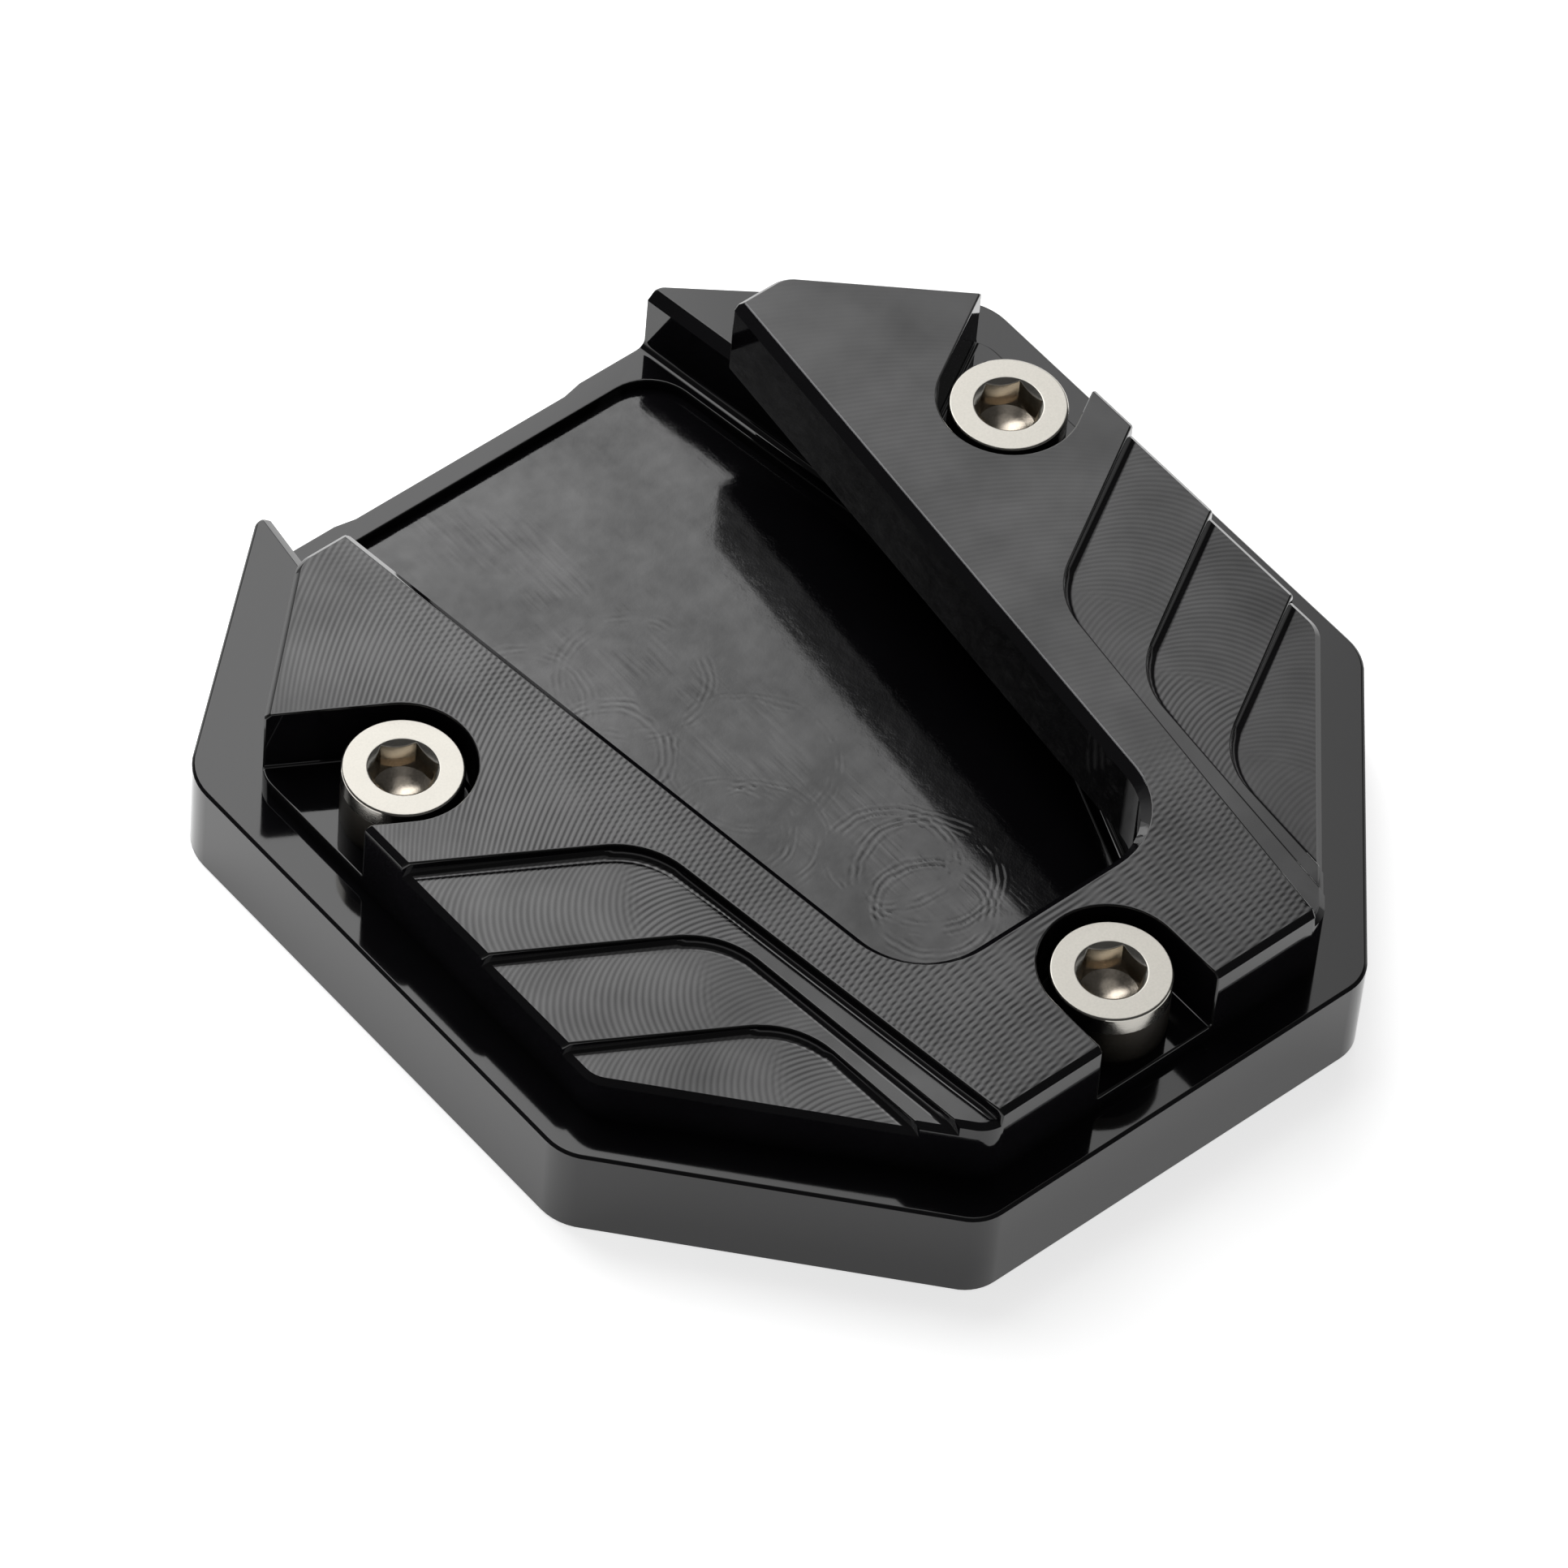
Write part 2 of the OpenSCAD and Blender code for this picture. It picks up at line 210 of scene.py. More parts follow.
class Value:
    """A value in a node tree. Sums and products written on it add the Math nodes."""

    def __init__(self, nodes, socket):
        self.nodes = nodes
        self.socket = socket

    def math(self, operation, *others):
        return self.nodes.add("ShaderNodeMath", {"operation": operation}, [self, *others])

    def __add__(self, other):
        return self.math("ADD", other)

    def __sub__(self, other):
        return self.math("SUBTRACT", other)

    def __rsub__(self, other):
        return self.math("MULTIPLY_ADD", -1.0, other)

    def __mul__(self, other):
        return self.math("MULTIPLY", other)

    def __truediv__(self, other):
        return self.math("DIVIDE", other)

    __radd__ = __add__
    __rmul__ = __mul__

    def __abs__(self):
        return self.math("ABSOLUTE")

    def root(self):
        return self.math("SQRT")

    def out(self, name):
        return Value(self.nodes, self.socket.node.outputs[name])

    def rise(self, start, end):
        """0 up to start, 1 from end on, and a smooth rise between them."""
        settings = {"interpolation_type": "SMOOTHSTEP"}
        inputs = {"Value": self, "From Min": start, "From Max": end}
        return self.nodes.add("ShaderNodeMapRange", settings, inputs)

    def wave(self, pitch):
        """Even waves from -1 to 1, one for each pitch."""
        return (self * (2 * math.pi / pitch)).math("SINE")


class Nodes:
    """A node tree that is being made."""

    def __init__(self, tree):
        self.tree = tree

    def add(self, kind, settings=None, inputs=()):
        """Adds a node of that type with its settings, and the values or links of its sockets."""
        node = self.tree.nodes.new(kind)
        for name, value in (settings or {}).items():
            setattr(node, name, value)
        pairs = inputs.items() if isinstance(inputs, dict) else enumerate(inputs)
        for key, value in pairs:
            self.set(node.inputs[key], value)
        return Value(self, node.outputs[0])

    def set(self, socket, value):
        """Gives a socket a number, or a link from a value."""
        if isinstance(value, Value):
            self.tree.links.new(value.socket, socket)
        else:
            socket.default_value = value


class Finish(Nodes):
    """A material that is being made."""

    def __init__(self, name, **constants):
        self.material = bpy.data.materials.new(name)
        self.material.use_nodes = True
        super().__init__(self.material.node_tree)
        self.shader = self.tree.nodes["Principled BSDF"]
        self.feed(**constants)
        self.place = self.add("ShaderNodeTexCoord").out("Object")
        split = self.add("ShaderNodeSeparateXYZ", {}, [self.place])
        self.x, self.y, self.z = (split.out(axis) for axis in "XYZ")

    def noise(self, scale, detail=2.0, stretch=(1.0, 1.0, 1.0), turn=0.0):
        """Noise from 0 to 1 with so many waves to the metre."""
        inputs = {"Vector": self.place, "Rotation": (0.0, 0.0, turn), "Scale": stretch}
        mapped = self.add("ShaderNodeMapping", {"vector_type": "POINT"}, inputs)
        return self.add("ShaderNodeTexNoise", {}, {"Vector": mapped, "Scale": scale, "Detail": detail})

    def tint(self, amount, dark, light):
        """A colour between dark at 0 and light at 1."""
        inputs = {0: amount, 6: (*dark, 1.0), 7: (*light, 1.0)}
        return self.add("ShaderNodeMix", {"data_type": "RGBA"}, inputs).out(2)

    def feed(self, **values):
        """Sets the shader's sockets to numbers or links."""
        for socket, value in values.items():
            self.set(self.shader.inputs[socket.replace("_", " ")], value)

    def bump(self, height, distance):
        normal = self.add("ShaderNodeBump", {}, {"Height": height, "Distance": distance})
        self.feed(Normal=normal)


def scaled(tone, factor):
    return tuple(min(1.0, c * factor) for c in tone)


def anodised(name, tones, roughness, pattern, depth, clear=0.0, tone=None):
    """Black anodised aluminium with a pattern of marks from -1 to 1.

    Where clear is above 0, a clear layer lies on it that is thinner in the marks.
    """
    finish = Finish(name, IOR=tones.oxide_index)
    tone = tone or tones.anodised
    height = pattern(finish)
    cloud = finish.noise(150.0, 3.0)
    speck = finish.noise(7000.0, 2.0)
    finish.feed(
        Base_Color=finish.tint(cloud, scaled(tone, 0.5), scaled(tone, 1.5)),
        Roughness=(cloud - 0.5) * 0.05 + (speck - 0.5) * 0.04 + roughness,
    )
    if clear:
        depth_of_layer = (height * clear + (cloud - 0.5) * 0.9 + 0.66).math("MINIMUM", 1.0)
        finish.feed(
            IOR=1.3,
            Coat_IOR=tones.oxide_index,
            Coat_Roughness=roughness,
            Coat_Weight=depth_of_layer,
        )
    finish.bump(height + (speck - 0.5) * 0.25, depth)
    return finish.material


def face_mill_marks(marks):
    """Arcs that the trailing and the leading edge of a wide face mill cut along Y."""

    def height(f):
        reach = (marks.face_mill_radius**2 - f.x * f.x).root()
        trail = (f.y - reach).wave(marks.face_mill_feed)
        lead = (f.y + reach).wave(marks.face_mill_feed)
        right = f.x.rise(-4 * MM, 4 * MM)
        front = 1 - f.y.rise(-30 * MM, -20 * MM)
        inner = 1 - abs(f.x).rise(19 * MM, 27 * MM)
        wear_and_sheen = 1 - f.y.rise(14 * MM, 36 * MM) * 0.5
        outer = 1 - abs(f.x).rise(28 * MM, 37 * MM) * 0.6
        patches = f.noise(140.0, 3.0) * 1.2 + 0.45
        trail_share = 1 - right * (0.86 - front * 0.4)
        lead_share = right * front * 0.95 + (1 - right) * inner * 0.5
        return (trail * trail_share + lead * lead_share) * patches * wear_and_sheen * outer

    return height


def step_mill_marks(marks, corner, lean, outer_shares, inner_shares):
    """Arcs of the end mill that followed a feather step in from the side and then along the ridge.

    Each pair of shares gives how deep the arcs are on the left and on the right.
    """
    outward = math.radians(30.3)
    radius, feed = marks.step_mill_radius, marks.step_mill_feed
    centre = (corner[0] + 4.9 * MM, corner[1] - 4.6 * MM)

    def branch(f, x, angle):
        """Arcs whose centres run along a line through the centre, at that angle from +X."""
        along = (x - centre[0]) * math.cos(angle) + (f.y - centre[1]) * math.sin(angle)
        aside = (f.y - centre[1]) * math.cos(angle) - (x - centre[0]) * math.sin(angle)
        square = (radius * radius - aside * aside).math("MAXIMUM", 0.0)
        inside = 1 - abs(aside).rise(radius * 0.55, radius * 0.95)
        return (along - square.root()).wave(feed) * inside, along

    def height(f):
        x = abs(f.x)
        right = f.x.rise(-MM, MM)
        outer, out_along = branch(f, x, outward)
        inner, in_along = branch(f, x, math.pi / 2 - lean)
        split = out_along.rise(-1 * MM, 1.5 * MM)
        near = 1 - abs(in_along + 2 * MM).rise(4 * MM, 8 * MM)
        patches = f.noise(140.0, 2.0) * 0.8 + 0.6
        outer_share = right * (outer_shares[1] - outer_shares[0]) + outer_shares[0]
        inner_share = right * (inner_shares[1] - inner_shares[0]) + inner_shares[0]
        return (outer * split * outer_share + inner * (1 - split) * near * inner_share) * patches

    return height


def pocket_marks(marks):
    """Rings and drag lines that the end mill left on the pocket's floor."""
    rings = (
        (-9.5, 14.0, 1.0, 0.9),
        (-12.0, 22.5, 1.12, 0.5),
        (-3.0, 19.0, 1.3, 0.45),
        (-7.0, 1.5, 1.0, 0.9),
        (-5.6, -0.5, 1.15, 0.6),
        (2.0, -9.0, 1.05, 0.7),
        (3.2, -12.0, 1.2, 0.9),
        (1.2, -15.0, 1.0, 0.8),
        (-1.0, 6.0, 1.45, 0.35),
    )

    def height(f):
        warp = (f.noise(260.0, 2.0) - 0.5) * (1.2 * MM)
        total = None
        for x, y, size, weight in rings:
            dx, dy = f.x - x * MM, f.y - y * MM
            away = (dx * dx + dy * dy).root() + warp - marks.pocket_mill_radius * size
            ring = away.wave(0.62 * MM) * (1 - abs(away).rise(0.2 * MM, 1.3 * MM)) * weight
            total = ring if total is None else total + ring
        drag = f.noise(2600.0, 2.0, stretch=(1.0, 0.06, 1.0), turn=math.radians(6)) - 0.5
        lane = 1 - abs(f.x + f.y * 0.12 - 1 * MM).rise(2.0 * MM, 6.5 * MM)
        broken = f.noise(330.0, 2.0).rise(0.40, 0.62)
        smudge = f.noise(700.0, 4.0) - 0.5
        return total * broken * 0.9 + drag * (lane + 0.25) * broken * 1.6 + smudge * 1.3

    return height


def wall_marks(marks):
    """Faint level lines of the side milling."""

    def height(f):
        drift = f.noise(300.0, 1.0) * (0.1 * MM)
        return (f.z + drift).wave(marks.wall_mill_feed) * (f.noise(120.0, 2.0) * 0.8)

    return height


def blasted(f):
    """A blasted surface without lines."""
    return f.noise(5200.0, 3.0) - 0.5


def thread_marks(pitch):
    """Turns of the thread on the wall of a tapped hole."""

    def height(f):
        return f.z.wave(pitch)

    return height


def plated_steel(name, tone, roughness, grain_share):
    """Plated steel with a fine grain and soft clouds."""
    finish = Finish(name, Metallic=1.0)
    grain = finish.noise(5200.0, 3.0)
    cloud = finish.noise(520.0, 2.0)
    shade = (grain - 0.5) * grain_share + (cloud - 0.5) * 0.25 + 0.5
    finish.feed(
        Base_Color=finish.tint(shade, scaled(tone, 0.72), scaled(tone, 1.22)),
        Roughness=(grain - 0.5) * 0.12 + (cloud - 0.5) * 0.08 + roughness,
    )
    finish.bump(grain, 0.003 * MM)
    return finish.material


# Modelling helpers


def deselect():
    if bpy.context.object and bpy.context.object.mode == "EDIT":
        bpy.ops.object.mode_set(mode="OBJECT")
    bpy.ops.object.select_all(action="DESELECT")


def activate(piece):
    deselect()
    piece.select_set(True)
    bpy.context.view_layer.objects.active = piece


def solid_copy(node, name):
    """A copy of a CAD node's mesh with its loose triangles merged into whole faces."""
    activate(NODES[node])
    bpy.ops.object.duplicate()
    piece = bpy.context.object
    bpy.ops.object.parent_clear(type="CLEAR_KEEP_TRANSFORM")
    for key in [k for k in piece.keys() if k.startswith("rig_")]:
        del piece[key]
    piece.name = piece.data.name = name
    piece.data.materials.clear()
    bpy.ops.object.mode_set(mode="EDIT")
    bpy.ops.mesh.select_all(action="SELECT")
    bpy.ops.mesh.customdata_custom_splitnormals_clear()
    bpy.ops.mesh.remove_doubles(threshold=0.015 * MM)
    bpy.ops.mesh.dissolve_limited(angle_limit=math.radians(0.3))
    bpy.ops.mesh.select_all(action="SELECT")
    bpy.ops.mesh.normals_make_consistent(inside=False)
    bpy.ops.object.mode_set(mode="OBJECT")
    return piece


def paint(piece, material, test=lambda centre, normal: True):
    """Gives a material to the faces that pass the test."""
    activate(piece)
    piece.data.materials.append(material)
    bpy.ops.object.mode_set(mode="EDIT")
    bpy.ops.mesh.select_mode(type="FACE")
    bpy.ops.mesh.select_all(action="DESELECT")
    bpy.ops.object.mode_set(mode="OBJECT")
    for face in piece.data.polygons:
        face.select = test(face.center, face.normal)
    bpy.ops.object.mode_set(mode="EDIT")
    piece.active_material_index = len(piece.data.materials) - 1
    bpy.ops.object.material_slot_assign()
    bpy.ops.object.mode_set(mode="OBJECT")


def level(z):
    """Passes the flat faces that look up at that height."""
    return lambda centre, normal: normal.z > 0.99 and abs(centre.z - z) < SLACK


def corners(mesh):
    """Each edge between two faces, with how far the faces turn there and whether the corner is hollow."""
    sides = {}
    for face in mesh.polygons:
        ring = list(face.vertices)
        for start, end in zip(ring, ring[1:] + ring[:1]):
            sides.setdefault((min(start, end), max(start, end)), []).append((face.normal, end, start))
    for edge in mesh.edges:
        pair = sides.get(tuple(sorted(edge.vertices)), ())
        if len(pair) == 2:
            (first, _end, _start), (second, end, start) = pair
            inward = second.cross(mesh.vertices[end].co - mesh.vertices[start].co)
            yield edge, first.angle(second, 0.0), inward.dot(first) > 0


def score(piece, place, facing):
    """Cuts faces and edges in two where they cross a plane, and leaves the shape as it is."""
    activate(piece)
    bpy.ops.object.mode_set(mode="EDIT")
    bpy.ops.mesh.select_all(action="SELECT")
    bpy.ops.mesh.bisect(plane_co=place, plane_no=facing)
    bpy.ops.object.mode_set(mode="OBJECT")


def round_edges(piece, width, segments, share, slot=-1):
    """Rounds edges by a share of the width, which depends on an edge's middle, turn and hollowness."""
    activate(piece)
    mesh = piece.data
    bpy.ops.object.mode_set(mode="EDIT")
    bpy.ops.mesh.select_mode(type="EDGE")
    bpy.ops.mesh.select_all(action="SELECT")
    bpy.ops.transform.edge_bevelweight(value=-1.0)
    bpy.ops.object.mode_set(mode="OBJECT")
    shares = {}
    for edge, turn, hollow in corners(mesh):
        ends = [mesh.vertices[i].co for i in edge.vertices]
        shares.setdefault(float(share((ends[0] + ends[1]) / 2, turn, hollow)), []).append(edge.index)
    shares.pop(0.0, None)
    for value, chosen in shares.items():
        bpy.ops.object.mode_set(mode="EDIT")
        bpy.ops.mesh.select_all(action="DESELECT")
        bpy.ops.object.mode_set(mode="OBJECT")
        for index in chosen:
            edge = mesh.edges[index]
            edge.select = True
            for corner in edge.vertices:
                mesh.vertices[corner].select = True
        bpy.ops.object.mode_set(mode="EDIT")
        bpy.ops.transform.edge_bevelweight(value=value)
        bpy.ops.object.mode_set(mode="OBJECT")
    bevel = piece.modifiers.new("rounding", "BEVEL")
    bevel.width = width
    bevel.segments = segments
    bevel.limit_method = "WEIGHT"
    bevel.use_clamp_overlap = False
    bevel.material = slot
    bpy.ops.object.modifier_apply(modifier=bevel.name)


def break_edges(piece, edges, slot, bottom, chamfers):
    """Takes the sharpness off the proud edges above the bottom: chamfers first, then square ones.

    The edges of chamfers are left sharp up to the height named chamfers.
    """

    def chamfered(middle, turn, hollow):
        return not hollow and edges.sharp_angle < turn < edges.square_angle and middle.z > chamfers

    def square(middle, turn, hollow):
        return not hollow and turn > edges.square_angle and middle.z > bottom

    round_edges(piece, edges.chamfer_break, 1, chamfered, slot)
    round_edges(piece, edges.edge_break, 3, square, slot)


def smooth(piece, edges):
    """Shades the rounded edges smoothly and keeps the flat faces flat."""
    activate(piece)
    bpy.ops.object.shade_smooth_by_angle(angle=edges.sharp_angle)
    weighted = piece.modifiers.new("flat faces", "WEIGHTED_NORMAL")
    weighted.weight = 100
    weighted.keep_sharp = True
    bpy.ops.object.modifier_apply(modifier=weighted.name)


def settle(piece, node):
    """Puts a finished piece in its node's stead."""
    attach(piece, "root")
    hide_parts(node)


def node_axis(node):
    low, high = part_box(node)
    return (low + high) / 2


def cut_thread(screw, node, thread):
    """Cuts the helical groove of the thread into a screw's shank."""
    low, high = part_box(node)
    axis = node_axis(node)
    half, proud = 0.45 * thread.pitch, 0.05 * MM
    turns = round((high.z - thread.head - low.z) / thread.pitch)
    deselect()
    bpy.ops.mesh.primitive_plane_add(size=half * math.sqrt(2), rotation=(math.pi / 2, math.pi / 4, 0.0))
    bpy.ops.object.transform_apply(rotation=True)
    cutter = bpy.context.object
    bpy.ops.object.mode_set(mode="EDIT")
    bpy.ops.mesh.select_all(action="SELECT")
    bpy.ops.transform.resize(value=((thread.depth + proud) / half, 1.0, 1.0))
    bpy.ops.transform.translate(value=(thread.radius + proud, 0.0, 0.0))
    bpy.ops.mesh.delete(type="ONLY_FACE")
    bpy.ops.object.mode_set(mode="OBJECT")
    sweep = cutter.modifiers.new("helix", "SCREW")
    sweep.axis = "Z"
    sweep.screw_offset = thread.pitch
    sweep.iterations = turns
    sweep.steps = sweep.render_steps = thread.steps
    bpy.ops.object.modifier_apply(modifier=sweep.name)
    cutter.location = (axis.x, axis.y, low.z - thread.pitch / 2)
    bpy.ops.object.transform_apply(location=True)
    bpy.ops.object.mode_set(mode="EDIT")
    bpy.ops.mesh.select_all(action="SELECT")
    bpy.ops.mesh.remove_doubles(threshold=0.001 * MM)
    bpy.ops.mesh.fill_holes(sides=4)
    bpy.ops.mesh.select_all(action="SELECT")
    bpy.ops.mesh.normals_make_consistent(inside=False)
    bpy.ops.object.mode_set(mode="OBJECT")
    activate(screw)
    cut = screw.modifiers.new("thread", "BOOLEAN")
    cut.operation = "DIFFERENCE"
    cut.solver = "EXACT"
    cut.object = cutter
    bpy.ops.object.modifier_apply(modifier=cut.name)
    activate(cutter)
    bpy.ops.object.delete()
    activate(screw)


def soften(light, falls, rim_fade):
    """Lets a soft box lose light to the right in a few falls and fade out round its rim.

    A fall is two shares of the width, between which it lies, and the share of the light it takes.
    """
    light.use_nodes = True
    nodes = Nodes(light.node_tree)
    place = nodes.add("ShaderNodeNewGeometry").out("Parametric")
    centred = nodes.add("ShaderNodeMapping", {}, {"Vector": place, "Location": (-0.5, -0.5, 0.0)})
    reach = nodes.add("ShaderNodeVectorMath", {"operation": "LENGTH"}, [centred]).out("Value")
    across = nodes.add("ShaderNodeSeparateXYZ", {}, [place])
    strength = 1 - reach.rise(*rim_fade)
    for start, stop, loss in falls:
        strength = strength * (1 - across.rise(start, stop) * loss)
    nodes.set(nodes.tree.nodes["Emission"].inputs["Strength"], strength)


def add_panel(name, radiance, size, place, facing, side):
    """Adds a square light that the camera doesn't see, facing along a direction."""
    bpy.ops.object.light_add(type="AREA")
    panel = bpy.context.object
    panel.name = name
    panel.data.shape = "SQUARE"
    panel.data.size = size
    panel.data.energy = radiance * math.pi * size**2
    panel.visible_camera = False
    turned = Matrix((side, facing.cross(side), facing)).transposed().to_4x4()
    panel.matrix_world = Matrix.Translation(place) @ turned
    return panel


# Operators


class ENLARGER_OT_base_plate(bpy.types.Operator):
    """Dress the base plate: broken edges, satin rim, glossy pocket floor with its tool rings"""

    bl_idname = "enlarger.base_plate"
    bl_label = "Base plate"

    def execute(self, context):
        scene = context.scene
        edges, marks, tones = scene.enlarger_edges, scene.enlarger_marks, scene.enlarger_finishes
        piece = solid_copy("base_plate", "base_plate_dressed")
        wall = anodised("anodised wall", tones, tones.gloss, wall_marks(marks), marks.depth * 0.02)
        edge = anodised("anodised edge", tones, tones.satin, blasted, marks.depth * 0.05, tone=tones.edge)
        rim = anodised("satin rim", tones, tones.gloss + 0.02, blasted, marks.depth * 0.05)
        rings = pocket_marks(marks)
        floor = anodised("pocket floor", tones, tones.milled, rings, marks.depth * 4, marks.clear * 0.8)
        turns = thread_marks(scene.enlarger_thread.pitch)
        tapped = anodised("tapped hole", tones, tones.satin, turns, 0.15 * MM)
        paint(piece, wall)
        paint(piece, edge, lambda centre, normal: False)
        paint(piece, rim, level(RIM_Z))
        paint(piece, floor, level(POCKET_Z))
        axes = [node_axis(node) for node in SCREWS]
        paint(
            piece,
            tapped,
            lambda centre, normal: abs(normal.z) < 0.1
            and any((centre - axis).xy.length < SHANK_REACH for axis in axes),
        )
        break_edges(piece, edges, 1, -MM, RIM_Z - 0.1 * MM)
        smooth(piece, edges)
        settle(piece, "base_plate")
        return {"FINISHED"}


class ENLARGER_OT_clamp_plate(bpy.types.Operator):
    """Dress the clamp plate: rounded feet and edges, mill arcs on the ridge and on the steps"""

    bl_idname = "enlarger.clamp_plate"
    bl_label = "Clamp plate"

    def execute(self, context):
        scene = context.scene
        edges, marks, tones = scene.enlarger_edges, scene.enlarger_marks, scene.enlarger_finishes
        piece = solid_copy("clamp_plate", "clamp_plate_dressed")
        wall = anodised("anodised step wall", tones, tones.gloss, wall_marks(marks), marks.depth * 0.03)
        faint = marks.depth * 0.05
        edge = anodised("anodised clamp edge", tones, tones.satin, blasted, faint, tone=tones.edge)
        # Pale grey painted highlight for the bright line along the opening's right edge
        wear_and_sheen = anodised("worn edge", tones, tones.satin + 0.2, blasted, marks.depth, tone=tones.wear_and_sheen)
        wide_arcs = face_mill_marks(marks)
        ridge = anodised("milled ridge", tones, tones.satin, wide_arcs, marks.depth, marks.clear)
        paint(piece, wall)
        # The edges' finishes go on when the edges are rounded
        paint(piece, edge, lambda centre, normal: False)
        paint(piece, wear_and_sheen, lambda centre, normal: False)
        paint(piece, ridge, level(TOP_Z))
        # Drop below the ridge, lean, and how deep the arcs are left and right, outside and inside
        steps = (
            (1.3, 7.4, (0.45, 0.3), (1.0, 0.25)),
            (2.35, 5.8, (0.5, 0.4), (0.4, 0.9)),
            (3.35, 4.2, (0.45, 0.3), (0.9, 0.25)),
        )
        for k, (drop, lean, outer, inner) in enumerate(steps):
            corner = ((21.80 + 0.45 * k) * MM, (-4.75 - 10.1 * k) * MM)
            arcs = step_mill_marks(marks, corner, math.radians(lean), outer, inner)
            name = f"milled feather {k + 1}"
            feather = anodised(name, tones, tones.satin, arcs, marks.depth, marks.clear)
            paint(piece, feather, level(TOP_Z - drop * MM))
        floors = [TOP_Z - drop * MM for drop, *_more in steps]
        # The inner steps run out towards the front, so their feet get smaller in two goes
        ends = (-38.5 * MM, -41.2 * MM)
        for y in ends:
            score(piece, (0.0, y, 0.0), (0.0, 1.0, 0.0))

        def step_feet(middle, turn, hollow):
            on_floor = any(abs(middle.z - z) <= SLACK for z in floors)
            if not hollow or turn < edges.square_angle or not on_floor:
                return 0.0
            return 1.0 if middle.y > ends[0] else 0.6 if middle.y > ends[1] else 0.3

        def slot_feet(middle, turn, hollow):
            return hollow and turn > edges.square_angle and abs(middle.z - SEAT_Z) < SLACK

        # The edges that carry the painted highlight
        def opening_edge(middle, turn, hollow):
            outer_x = 18.45 * MM + middle.y * 0.125
            top = abs(middle.z - TOP_Z) < SLACK
            right_side = middle.y > -25 * MM and 10 * MM < middle.x < outer_x
            return top and turn > edges.sharp_angle and right_side

        round_edges(piece, edges.step_foot, edges.foot_levels, step_feet)
        round_edges(piece, edges.slot_foot, edges.foot_levels, slot_feet)
        round_edges(piece, edges.highlight_break, 1, opening_edge, 2)
        break_edges(piece, edges, 1, RIM_Z + 0.1 * MM, TOP_Z - 0.1 * MM)
        smooth(piece, edges)
        settle(piece, "clamp_plate")
        return {"FINISHED"}


class ENLARGER_OT_screws(bpy.types.Operator):
    """Model a cap screw with its thread cut into the shank and put one in each of the three places"""

    bl_idname = "enlarger.screws"
    bl_label = "Cap screws"

    def execute(self, context):
        scene = context.scene
        edges, tones, thread = scene.enlarger_edges, scene.enlarger_finishes, scene.enlarger_thread
        first = SCREWS[0]
        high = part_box(first)[1]
        axis = node_axis(first)
        seat = high.z - thread.head
        screw = solid_copy(first, first + "_dressed")
        cut_thread(screw, first, thread)
        score(screw, (0.0, 0.0, high.z - thread.collar), (0.0, 0.0, 1.0))
        paint(screw, plated_steel("plated steel", tones.steel, tones.bright + 0.06, 0.15))
        # Below the collar the head's side and the shank get steel painted nearly black: painted shade
        paint(
            screw,
            plated_steel("rough steel painted dark for shade", scaled(tones.socket, 0.07), tones.turned, 0.9),
            lambda centre, normal: centre.z < high.z - thread.collar
            and (centre - axis).xy.length > SOCKET_REACH,
        )
        turned = plated_steel("turned steel", scaled(tones.steel, 0.9), tones.turned + 0.08, 0.6)
        paint(screw, turned, level(high.z))
        paint(
            screw,
            plated_steel("chamfered steel", tones.steel, tones.turned - 0.2, 0.3),
            lambda centre, normal: centre.z > high.z - 0.55 * MM
            and 0.2 < normal.z < 0.98
            and (centre - axis).xy.length < SOCKET_REACH,
        )
        # The socket's walls get a darker, browner steel: painted shade and a painted brown reflection
        paint(
            screw,
            plated_steel("socket steel with painted shade", tones.socket, tones.bright + 0.12, 0.9),
            lambda centre, normal: seat + 2 * MM < centre.z < high.z - 0.55 * MM
            and (centre - axis).xy.length < SOCKET_REACH,
        )
        round_edges(
            screw,
            edges.head_break,
            2,
            lambda middle, turn, hollow: not hollow
            and turn > edges.sharp_angle
            and middle.z > high.z - 0.7 * MM,
        )
        smooth(screw, edges)
        for node in SCREWS[1:]:
            activate(screw)
            bpy.ops.object.duplicate()
            copy = bpy.context.object
            copy.name = copy.data.name = node + "_dressed"
            copy.location = node_axis(node) - axis
            bpy.ops.object.transform_apply(location=True)
            settle(copy, node)
        settle(screw, first)
        return {"FINISHED"}


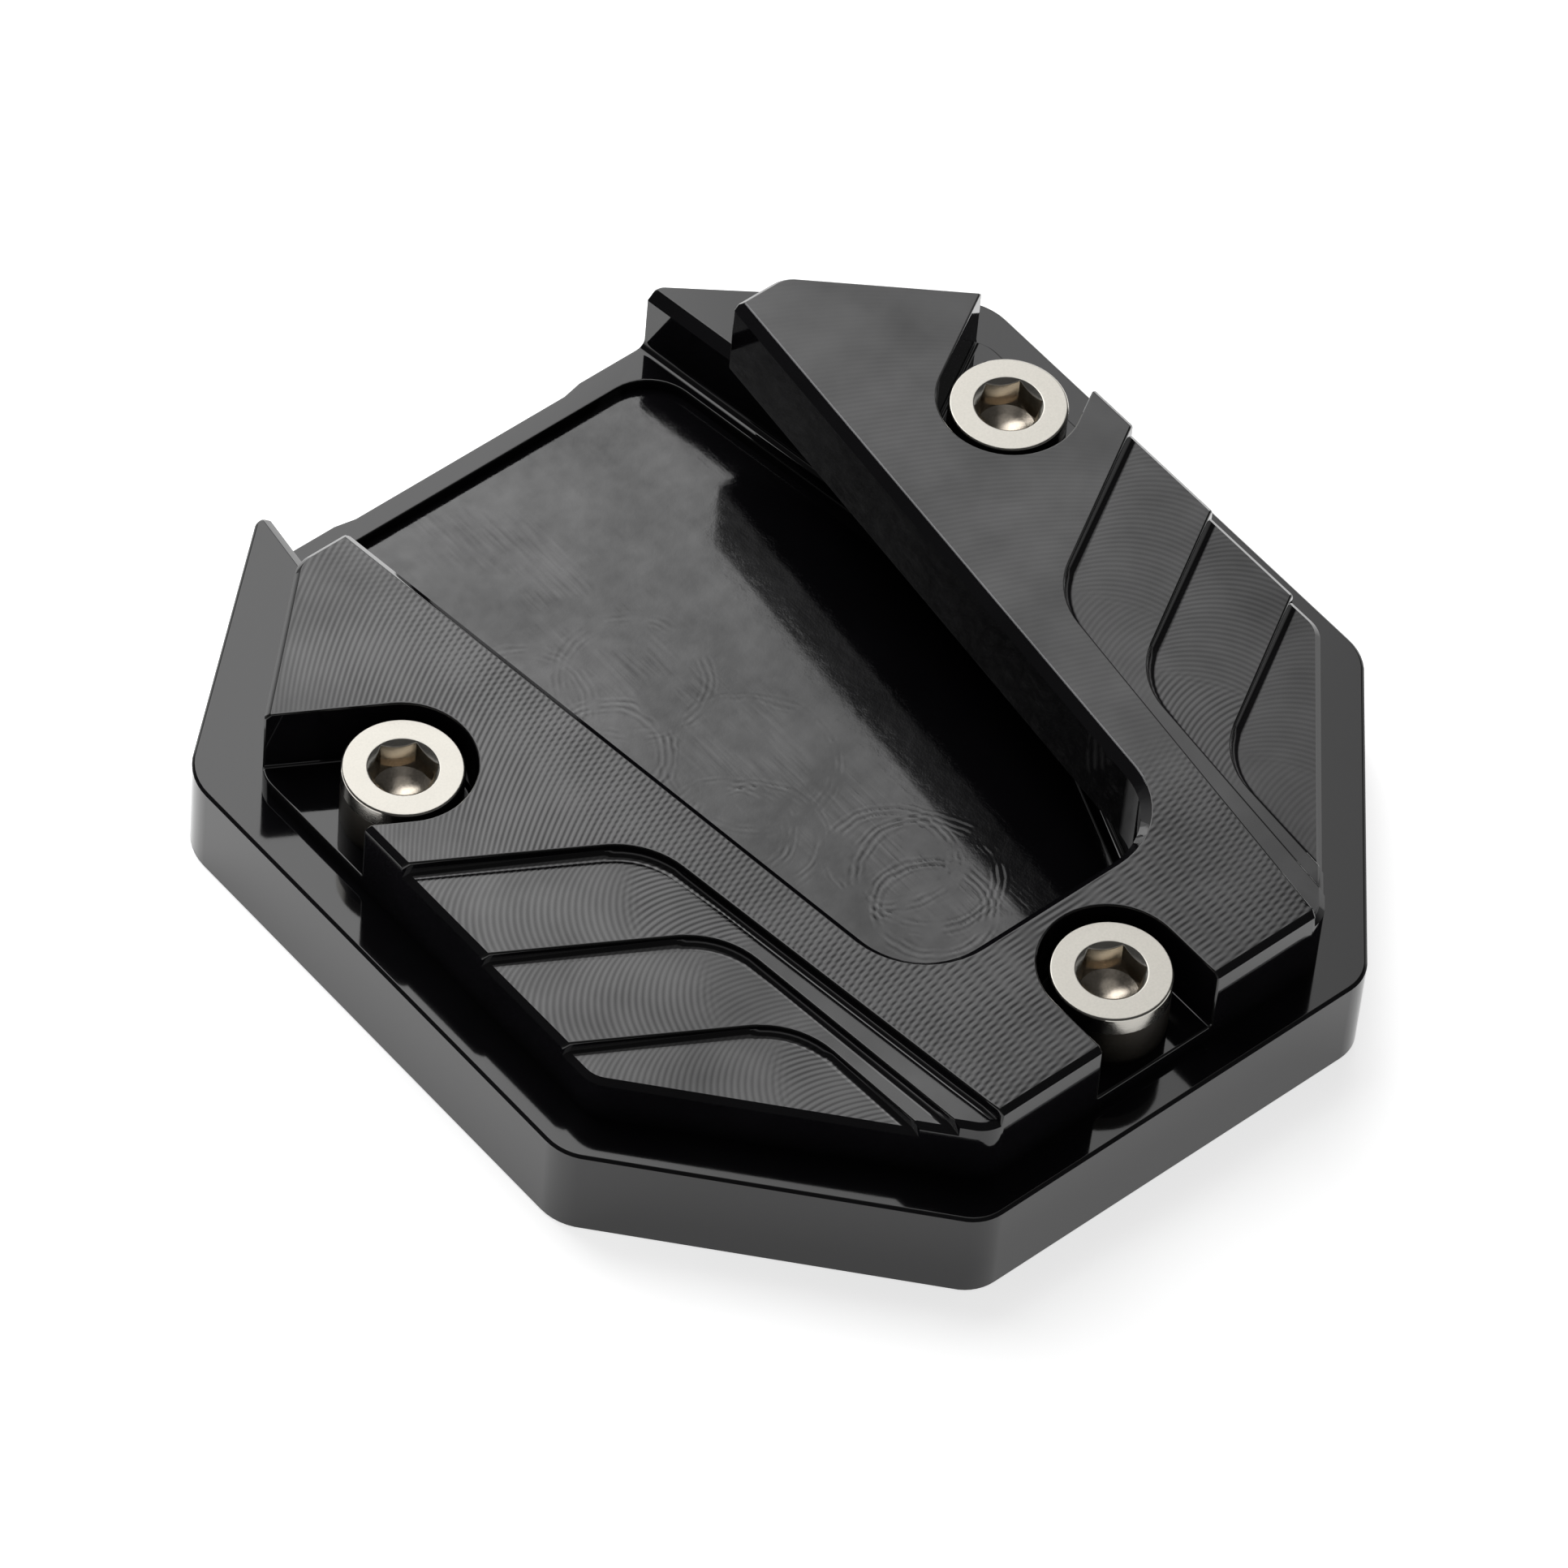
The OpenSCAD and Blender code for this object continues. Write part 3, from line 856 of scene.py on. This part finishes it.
class ENLARGER_OT_studio(bpy.types.Operator):
    """Set the pale floor with its painted glow, the soft light and the camera"""

    bl_idname = "enlarger.studio"
    bl_label = "Studio"

    def execute(self, context):
        scene = context.scene
        studio = scene.enlarger_studio
        deselect()
        bpy.ops.mesh.primitive_plane_add(size=studio.floor_size, location=(0.0, 0.0, -studio.floor_gap))
        floor = context.object
        floor.name = "studio_floor"
        paper = Finish("pale paper with painted glow", Roughness=0.9)
        fibre = paper.noise(900.0, 3.0)
        tone = studio.floor_colour
        # Painted glow: the floor emits light that rises from the front to the rear left, in place of light
        # falling on it
        away = (paper.y * 0.8 - paper.x * 0.6).rise(-20 * MM, 45 * MM)
        near, far = ((glow,) * 3 for glow in (studio.glow_near, studio.glow_far))
        seen_from_below = paper.add("ShaderNodeNewGeometry").out("Backfacing")
        paper.feed(
            Alpha=1 - seen_from_below,
            Base_Color=paper.tint(fibre, scaled(tone, 0.985), scaled(tone, 1.015)),
            Emission_Color=paper.tint(away, near, far),
            Emission_Strength=1.0,
        )
        floor.data.materials.append(paper.material)

        sky = bpy.data.worlds.new("studio surround")
        scene.world = sky
        sky.use_nodes = True
        nodes = Nodes(sky.node_tree)
        background = nodes.tree.nodes["Background"]
        background.inputs["Color"].default_value = (1.0, 1.0, 1.0, 1.0)
        seen = nodes.add("ShaderNodeLightPath").out("Is Camera Ray")
        way = nodes.add("ShaderNodeTexCoord").out("Generated")
        climb = nodes.add("ShaderNodeSeparateXYZ", {}, [way]).out("Z")
        low = (1 - climb.rise(0.10, 0.34)) * (studio.horizon - studio.surround)
        overhead = climb.rise(0.90, 0.97) * (studio.zenith - studio.surround)
        around = low + overhead + studio.surround
        nodes.set(background.inputs["Strength"], seen * (1 - around) + around)

        a, e, r = studio.azimuth, studio.elevation, studio.roll
        level_right = Vector((math.cos(a), -math.sin(a), 0.0))
        level_up = Vector((math.sin(a) * math.sin(e), math.cos(a) * math.sin(e), math.cos(e)))
        ahead = Vector((math.sin(a) * math.cos(e), math.cos(a) * math.cos(e), -math.sin(e)))
        right = level_right * math.cos(r) - level_up * math.sin(r)
        up = level_right * math.sin(r) + level_up * math.cos(r)
        front_screw = node_axis("screw_front")
        aim = Vector((0.0, front_screw.y, RIM_Z))
        bpy.ops.object.camera_add()
        camera = context.object
        camera.name = "studio_camera"
        camera.data.lens = studio.lens
        camera.data.sensor_width = 36.0
        camera.data.clip_start, camera.data.clip_end = 0.05, 20.0
        place = aim - right * studio.aside[0] - up * studio.aside[1] - ahead * studio.distance
        camera.matrix_world = Matrix.Translation(place) @ Matrix((right, up, -ahead)).transposed().to_4x4()
        scene.camera = camera
        scene.view_settings.view_transform = "Standard"

        mirrored = Vector((ahead.x, ahead.y, -ahead.z))
        place = mirrored * studio.key_distance + level_right * studio.key_aside
        key = add_panel("soft_box", studio.key_radiance, studio.key_size, place, mirrored, level_right)
        soften(key.data, ((0.658, 0.735, 0.36), (0.758, 0.855, 0.42)), (0.36, 0.5))
        return {"FINISHED"}


class ENLARGER_PT_panel(bpy.types.Panel):
    """Lists the settings and the pieces"""

    bl_idname = "ENLARGER_PT_panel"
    bl_label = "Foot enlarger"
    bl_space_type = "VIEW_3D"
    bl_region_type = "UI"
    bl_category = "Enlarger"

    def draw(self, context):
        for name, _group in SETTINGS:
            group = getattr(context.scene, name)
            box = self.layout.box()
            for key in group.__annotations__:
                box.prop(group, key)
        for operator in STEPS:
            self.layout.operator(operator.bl_idname)


SETTINGS = (
    ("enlarger_edges", EnlargerEdges),
    ("enlarger_marks", EnlargerMarks),
    ("enlarger_finishes", EnlargerFinishes),
    ("enlarger_thread", EnlargerThread),
    ("enlarger_studio", EnlargerStudio),
)
STEPS = (
    ENLARGER_OT_base_plate,
    ENLARGER_OT_clamp_plate,
    ENLARGER_OT_screws,
    ENLARGER_OT_studio,
)


def register():
    for name, group in SETTINGS:
        bpy.utils.register_class(group)
        setattr(bpy.types.Scene, name, PointerProperty(type=group))
    for step in (*STEPS, ENLARGER_PT_panel):
        bpy.utils.register_class(step)


def unregister():
    for step in reversed((*STEPS, ENLARGER_PT_panel)):
        bpy.utils.unregister_class(step)
    for name, group in reversed(SETTINGS):
        delattr(bpy.types.Scene, name)
        bpy.utils.unregister_class(group)


def main():
    register()
    bpy.ops.enlarger.base_plate()
    bpy.ops.enlarger.clamp_plate()
    bpy.ops.enlarger.screws()
    bpy.ops.enlarger.studio()


if __name__ == "__main__":
    main()
